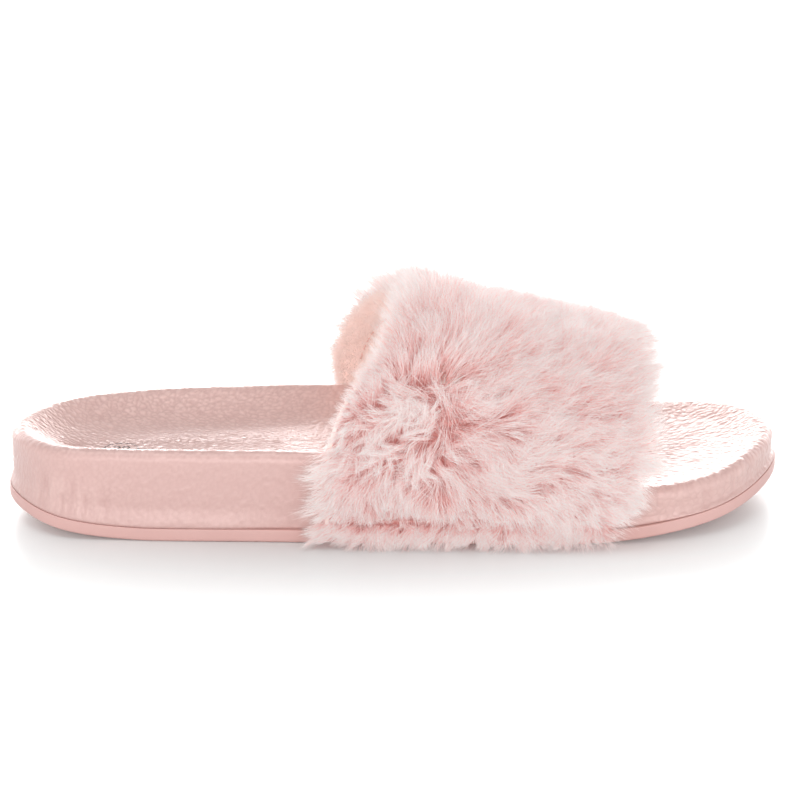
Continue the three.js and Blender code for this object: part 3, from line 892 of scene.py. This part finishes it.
# ---- fur ----
STRANDS = 88000
HEM_STRANDS = 16000
HEM_LENGTH = 7.2
LOWEST_FIBRE = 0.3  # height of a fibre's middle line over the floor
STEPS = 5
FIBRE = 0.07  # radius at the root
PIECES = 11
WHORL = (0.02, 1.2)  # column and row of the whorl, from which the pile turns away
WHORL_TWIST = 0.35  # radians by which the pile turns about the whorl
LOOSE = (20.5, 31.5, 14)  # run, arc and reach of the place where the pile parts and lies loosely
EDGE_PULL = 11  # the pile leans out over a cut edge within this distance


def arc_table():
    """Millimetres over the foot for each row, along the middle column."""
    rows = np.linspace(0, ROWS, 361)
    middle = underside(rows, 0.5) + axes(rows, np.full_like(rows, 0.5))[1] * 5
    return rows, np.concatenate([[0], np.cumsum(np.linalg.norm(np.diff(middle, axis=0), axis=1))])


ROW_TABLE, ARC_TABLE = arc_table()
SEAM_ARC = 3.0  # the side seam, over the cloth from its foot


def to_arc(row):
    return np.interp(row, ROW_TABLE, ARC_TABLE)


def comb(arc, run):
    """Direction of the pile in the strap's surface: to the toe, and to the next row. It turns away
    from the whorl low on the outer side, and leans out over every edge of the cloth."""
    away = np.stack([run - WHORL[0] * STRAP_LENGTH, arc - to_arc(WHORL[1])], -1)
    distance = np.linalg.norm(away, axis=-1, keepdims=True)
    flow = turned(away / (distance + 16), WHORL_TWIST * np.exp(-((distance[..., 0] / 20) ** 2)))
    flow += 0.34 * np.stack([drift(arc, run, 11, 70), drift(arc, run, 11, 71)], -1)
    flow += 0.2 * np.stack([drift(arc, run, 5, 72), drift(arc, run, 5, 73)], -1)
    flow[..., 0] += 0.5 * smoothstep(run, 18, 40) * np.exp(-(((arc - 58) / 34) ** 2))
    flow[..., 0] += 1.5 * (np.exp(-(STRAP_LENGTH - run) / EDGE_PULL) - np.exp(-run / EDGE_PULL))
    flow[..., 1] += np.exp(-(ARC_TABLE[-1] - arc) / 40) - np.exp(-((arc / 26) ** 2))
    return unit(flow)


def turned(flow, angle):
    """Plane directions turned by an angle."""
    cos, sin = np.cos(angle), np.sin(angle)
    return np.stack([flow[..., 0] * cos - flow[..., 1] * sin, flow[..., 0] * sin + flow[..., 1] * cos], -1)


def strand_roots(rng):
    """Row and column of each fibre's root, spread evenly over the cloth."""
    rows = np.linspace(0.28, ROWS - 0.28, 500)
    columns = np.linspace(0, 1, 120)
    row, column = np.meshgrid(rows, columns, indexing="ij")
    at = underside(row, column) + axes(row, column)[1] * 5
    area = np.linalg.norm(np.cross(np.diff(at, axis=0)[:, :-1], np.diff(at, axis=1)[:-1]), axis=-1)
    c = columns[:-1] + 0.004
    area = area * (1 + 0.9 * np.exp(-((c / 0.05) ** 2)) + 0.9 * np.exp(-(((1 - c) / 0.05) ** 2)))
    pick = rng.choice(area.size, STRANDS, p=(area / area.sum()).ravel())
    r, c = np.unravel_index(pick, area.shape)
    return (
        rows[r] + rng.random(STRANDS) * (rows[1] - rows[0]),
        np.clip(columns[c] + rng.random(STRANDS) * (columns[1] - columns[0]), 0, 1),
    )


def tufts(arc, run, size, seed):
    """For each root, the middle of the tuft that it belongs to, in millimetres over the cloth."""
    i, j = np.floor(arc / size), np.floor(run / size)
    best = np.full(arc.shape, 1e9)
    middle = np.zeros(arc.shape + (2,))
    for di in (-1, 0, 1):
        for dj in (-1, 0, 1):
            a = (i + di + scramble(i + di, j + dj, seed=seed)) * size
            b = (j + dj + scramble(i + di, j + dj, seed=seed + 1)) * size
            away = (a - arc) ** 2 + (b - run) ** 2
            closer = away < best
            best = np.where(closer, away, best)
            middle = np.where(closer[..., None], np.stack([a, b], -1), middle)
    return middle


def near_edge(column):
    """1 at the strap's cut edges, and 0 a little way in."""
    return np.maximum(1 - column / 0.06, 0) + np.maximum(1 - (1 - column) / 0.06, 0)


def frizz(path, rng, amount):
    """Strays the fibres' outer points by up to about that many millimetres, and keeps them all over
    the floor."""
    for k in range(2, STEPS):
        path[:, k] += rng.normal(size=(len(path), 3)) * amount * (k / (STEPS - 1))
    path[..., 2] = np.maximum(path[..., 2], LOWEST_FIBRE)


def per_tuft(middle, seed):
    """A random number from 0 to 1, the same for every root that shares a tuft's middle."""
    return scramble(*np.round(middle * 50).T, seed=seed)


def make_fur(materials):
    rng = np.random.default_rng(11)
    row, column = strand_roots(rng)
    arc, run = to_arc(row), column * STRAP_LENGTH
    small = tufts(arc, run, 1.9, 21)
    large = tufts(arc, run, 6.5, 31)

    along, out = axes(row, column)
    across = np.cross(out, along)
    offset = backing_inside(row, ROOT_FOOT) + CLOTH_THICK * 0.5
    root = underside(row, column) + out * offset[:, None]

    middle = lerp(np.stack([arc, run], -1), small, 0.7)
    swing = 0.4 * drift(middle[:, 0], middle[:, 1], 14, 5) + 0.8 * drift(middle[:, 0], middle[:, 1], 6, 6)
    swing += 1.2 * (per_tuft(small, 7) - 0.5) + 0.18 * rng.normal(size=STRANDS)
    loose = np.exp(-((np.hypot(run - LOOSE[0], arc - LOOSE[1]) / LOOSE[2]) ** 2))[:, None]
    angle = 2 * np.pi * per_tuft(large, 64)
    angle += 2 * (per_tuft(small, 65) - 0.5)
    astray = np.stack([np.cos(angle), np.sin(angle)], -1)
    curl = 1.2 * drift(small[:, 0], small[:, 1], 5, 62) + 0.3 * rng.normal(size=STRANDS)
    flow = lerp(turned(comb(middle[:, 0], middle[:, 1]), swing), astray, np.minimum(1.3 * loose, 0.95))
    flows = [turned(flow, curl * end) for end in (-0.5, 0.5)]
    leave, arrive = (unit(along * f[:, :1] + across * f[:, 1:]) for f in flows)

    height = arc_from_foot(arc)
    edge = near_edge(column)
    tucked = np.where(column > 0.5, smoothstep(height, 4, 40), 1)
    side = np.where(column < 0.5, -1, 1)
    rear_crown = np.exp(-((column / 0.1) ** 2)) * smoothstep(over_foot(row), 0.5, 0.9)
    hug = np.exp(-((column / 0.12) ** 2)) * smoothstep(row, 1.5, 2.1) * (1 - smoothstep(row, 4.5, 7.5))
    lean = 0.9 * edge * side * tucked * (1 - 0.7 * rear_crown) * (1 - 0.9 * hug)
    normal = unit(out + along * lean[:, None])
    length = lerp(10.5, 15.0, over_foot(row))
    length *= 1 + 0.25 * (per_tuft(small, 8) - 0.4) + 0.1 * rng.normal(size=STRANDS)
    length *= 1 - edge * lerp(0.55, 0.2, tucked)
    hang = 4 * per_tuft(large, 66)
    length *= np.clip((height - SEAM_ARC + hang + 7 * (1 - smoothstep(column, 0, 0.2))) / 13, 0.2, 1)
    far_rear = (row > ROWS / 2) & (column < 0.12)
    length *= np.where(far_rear, 0.65, 1 - 0.25 * np.exp(-((column / 0.06) ** 2)) * over_foot(row))
    length *= (1 + 0.5 * rear_crown) * (1 - 0.5 * hug)
    rise = np.radians(36 + 8 * drift(small[:, 0], small[:, 1], 6, 9) + 6 * rng.normal(size=STRANDS))
    lay = np.radians(73 + 8 * drift(small[:, 0], small[:, 1], 9, 10) + 7 * rng.normal(size=STRANDS))
    lay -= np.radians(34) * rear_crown
    rise -= np.radians(14) * rear_crown

    path = bent_fibres(root, normal, leave, arrive, rise, lay, length)
    # Fibres of a tuft draw together towards their tips.
    for middle, pull, power in ((small, 0.62, 1.1), (large, 0.25, 1.6)):
        pull = np.where(far_rear, 0, pull)[:, None]
        shift = along * (middle[:, 1] - run)[:, None] + across * (middle[:, 0] - arc)[:, None]
        for k in range(1, STEPS):
            path[:, k] += shift * pull * (k / (STEPS - 1)) ** power
    frizz(path, rng, 0.3)
    # Pale fibres drop the root's painted shade at the cut edges and in the loose parting, where the roots
    # show, and on three in five fibres low on the front half. Every fibre near the rear edge on the inner
    # side drops one shade more.
    fair = (rng.random(STRANDS) < 0.6) & (column > 0.5) & (height < 38)
    fair |= rng.random(STRANDS) < 0.8 * loose[:, 0]
    grow_fur(path, row, rng, materials, "fur_pile", pale=((edge > 0.2) | fair).astype(int) + far_rear)


def bent_fibres(root, normal, leave, arrive, rise, lay, length):
    """Paths of fibres that leave the cloth at the angle rise from its normal and end at lay, while
    they turn from the direction leave to arrive."""
    path = np.zeros((len(root), STEPS, 3))
    path[:, 0] = root
    for k in range(1, STEPS):
        share = (k - 0.5) / (STEPS - 1)
        lean = lerp(rise, lay, share)[:, None]
        step = normal * np.cos(lean) + unit(lerp(leave, arrive, share)) * np.sin(lean)
        path[:, k] = path[:, k - 1] + step * (length / (STEPS - 1))[:, None]
    return path


def arc_from_foot(arc):
    return np.minimum(arc, ARC_TABLE[-1] - arc)


def make_hem_fur(materials):
    """The pile below the side seams, which hangs over the outsole."""
    rng = np.random.default_rng(12)
    count = HEM_STRANDS
    column = lerp(-0.02, 1, rng.random(count))
    side = np.where(rng.random(count) < 0.5, -1, 1)
    below = rng.random(count)
    up = lerp(lerp(*CREASE, column) - 1.0, -1.2, below)
    foot_rear = np.where(side < 0, STRAP_REAR[0], STRAP_REAR[1])
    foot_front = np.where(side < 0, STRAP_FRONT[0], STRAP_FRONT[1])
    x = lerp(foot_rear, foot_front, column)
    wall = np.where(side < 0, wall_y(x, -1), wall_y(x, 1))
    out = np.stack([0 * x, side.astype(float), 0 * x], 1)
    along = np.tile([1.0, 0, 0], (count, 1))
    root = np.stack([x, wall + side * 1.8, outsole_top(x) + up], 1)
    run = column * STRAP_LENGTH
    small = tufts(40 * side + up, run, 1.9, 41)
    large = tufts(40 * side + 0 * up, run, 7.5, 44)
    lean_x = lerp(-0.5, 0.4, column) + 1.2 * drift(large[:, 1], side * 9.0, 8, 42)
    lean_x -= 1.2 * np.exp(-((column / 0.07) ** 2))
    lean_x += 2.2 * (per_tuft(small, 43) - 0.5) + 0.3 * rng.normal(size=count)
    curve = 1.4 * (per_tuft(small, 48) - 0.5)
    direction = unit(np.stack([lean_x, 0.4 * side, -0.7 + 0.5 * drift(small[:, 1], small[:, 0], 5, 45)], 1))
    later = unit(direction + np.stack([curve, 0 * x, 0 * x], 1))
    uneven = 0.4 * (per_tuft(small, 46) - 0.5)
    length = HEM_LENGTH * (1 + uneven + 0.12 * rng.normal(size=count))
    rise = lerp(50, 20, below) + 10 * drift(small[:, 1], small[:, 0], 6, 47)
    rise = np.radians(rise + 7 * rng.normal(size=count))
    lay = np.radians(80 + 7 * rng.normal(size=count))
    edge = near_edge(column)
    normal = unit(out + along * (0.5 * edge * np.where(column < 0.5, -1, 1))[:, None])
    path = bent_fibres(root, normal, direction, later, rise, lay, length)
    for k in range(1, STEPS):
        path[:, k, 0] += (small[:, 1] - run) * 0.5 * (k / (STEPS - 1)) ** 1.2
    frizz(path, rng, 0.25)
    grow_fur(path, side, rng, materials, "fur_hem", pieces=2, pale=rng.random(count) < 0.25)


def grow_fur(path, order, rng, materials, name, pale, pieces=PIECES):
    """Fibres along the paths, in pieces that follow one another over the foot. Pale fibres leave
    out that many of the shades near the root, and with them some of the painted shade of the pile's
    depths."""
    radii = FIBRE * np.array([1, 0.95, 0.8, 0.5, 0])
    ranks = np.argsort(order, kind="stable")
    made = []
    for k, part in enumerate(np.array_split(ranks, pieces)):
        thick = radii * (0.8 + 0.4 * rng.random(len(part)))[:, None]
        points, walls, tips, root = tubes(path[part], thick, 3, unit(rng.normal(size=(len(part), 3))))
        kind = rng.choice(3, len(part), p=FUR_SHARES)[:, None] * len(FUR_SHADES[0])
        zone = np.minimum(np.repeat(np.arange(STEPS - 2), 3)[None] + 1 * pale[part, None], STEPS - 2)
        shade = [(kind + zone).ravel(), np.repeat(kind + STEPS - 2, 3, axis=1).ravel(), kind.ravel()]
        label = f"{name}_{k + 1:02d}"
        made.append(add_piece(
            label, points, [walls.reshape(-1, 4), tips.reshape(-1, 3), root.reshape(-1, 3)],
            materials, shade=np.concatenate(shade)))
    return made


# ---- studio ----
SKY = (0.1, 0.9, 1.15, 0.45)  # height of the bright horizon and of the dim top, and their strengths


def make_studio():
    floor = bpy.data.meshes.new("floor")
    floor.from_pydata([(-4, -4, 0), (4, -4, 0), (4, 4, 0), (-4, 4, 0)], [], [(0, 1, 2, 3)])
    stage = bpy.data.objects.new("floor", floor)
    bpy.context.scene.collection.objects.link(stage)
    look = Look("studio_floor", "#dfe2e2", Roughness=0.3, Specular_IOR_Level=0.15,
                Emission_Color=(1, 1, 1, 1))
    # Painted light: the floor glows, more the farther it lies from the slipper, so it turns white away from
    # it and stays darker near it, a painted fade of the shadow round the slipper.
    away = look.node("ShaderNodeVectorMath", operation="LENGTH")
    look.link(look.space((1 / 0.17, 1 / 0.08, 1)), away.inputs[0])
    glow = look.between(away.outputs["Value"], 0.6, 1.45, 0.0, 0.55)
    look.link(glow, look.shader.inputs["Emission Strength"])
    floor.materials.append(look.material)

    world = bpy.data.worlds.new("studio")
    bpy.context.scene.world = world
    world.use_nodes = True
    nodes, link = world.node_tree.nodes, world.node_tree.links.new
    background = nodes["Background"]
    background.inputs["Color"].default_value = (1, 1, 1, 1)
    coordinates = nodes.new("ShaderNodeTexCoord")
    split = nodes.new("ShaderNodeSeparateXYZ")
    link(coordinates.outputs["Generated"], split.inputs[0])
    fade = nodes.new("ShaderNodeMapRange")
    fade.interpolation_type = "SMOOTHSTEP"
    for key, value in zip(("From Min", "From Max", "To Min", "To Max"), SKY):
        fade.inputs[key].default_value = value
    link(split.outputs["Z"], fade.inputs["Value"])
    path = nodes.new("ShaderNodeLightPath")
    choose = nodes.new("ShaderNodeMix")
    link(path.outputs["Is Camera Ray"], choose.inputs["Factor"])
    link(fade.outputs["Result"], choose.inputs[2])
    choose.inputs[3].default_value = 1.05
    link(choose.outputs[0], background.inputs["Strength"])

    def softbox(name, at, target, width, height, watts):
        data = bpy.data.lights.new(name, "AREA")
        data.shape = "RECTANGLE"
        data.size, data.size_y = width, height
        data.energy = watts
        lamp = bpy.data.objects.new(name, data)
        lamp.location = at
        lamp.rotation_euler = (Vector(target) - Vector(at)).to_track_quat("-Z", "Y").to_euler()
        lamp.visible_camera = False
        bpy.context.scene.collection.objects.link(lamp)

    softbox("back_light", (0, 1.7, 0.45), (0, 0, 0.02), 2.8, 0.8, 40)
    softbox("top_light", (-0.3, -0.3, 1.6), (0, 0, 0.02), 1.0, 1.0, 5.5)
    softbox("front_light", (0.1, -2.2, 0.6), (0, 0, 0.03), 2.4, 1.0, 16)


def make_camera():
    data = bpy.data.cameras.new("camera")
    data.lens = 175.65
    data.sensor_width = 36
    data.clip_start, data.clip_end = 0.05, 50
    camera = bpy.data.objects.new("camera", data)
    camera.location = (-0.0748, -1.2232, 0.4339)
    swing, pitch = math.radians(3.5), math.radians(17.96)
    aim = Vector((math.cos(pitch) * math.sin(swing), math.cos(pitch) * math.cos(swing), -math.sin(pitch)))
    camera.rotation_euler = aim.to_track_quat("-Z", "Y").to_euler()
    bpy.context.scene.collection.objects.link(camera)
    bpy.context.scene.camera = camera


# ---- assembly ----
make_camera()
make_studio()
bpy.context.scene.view_settings.view_transform = "Standard"

make_outsole(rubber_look())
wrap = make_cover(leatherette_look())
make_size_mark(ink_look(), wrap)
lining_material = lining_look()
lining, lining_face = make_lining(lining_material)
make_plush(lining_face, lining_material)
make_padding(foam_look())
backing = make_backing(backing_look())
fur_materials = fur_looks()
make_fur(fur_materials)
make_hem_fur(fur_materials)
edge_thread = thread_look("edge_thread", "#f2d6cd", "#ecc9be")
# The side seams' thread is a dark coral close to the backing's: painted shade of the crease in which it
# lies.
side_thread = thread_look("side_thread", "#de9f97", "#d6928b")
make_seams(edge_thread, side_thread)

for node, look in (
    ("midsole_core", foam_look()), ("footbed_foam", foam_look()), ("bottom_filler", board_look()),
    ("strap_reinforcement", tape_look()),
):
    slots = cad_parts[node].material_slots
    for k in range(len(slots)):
        slots[k].link = "OBJECT"
        slots[k].material = look
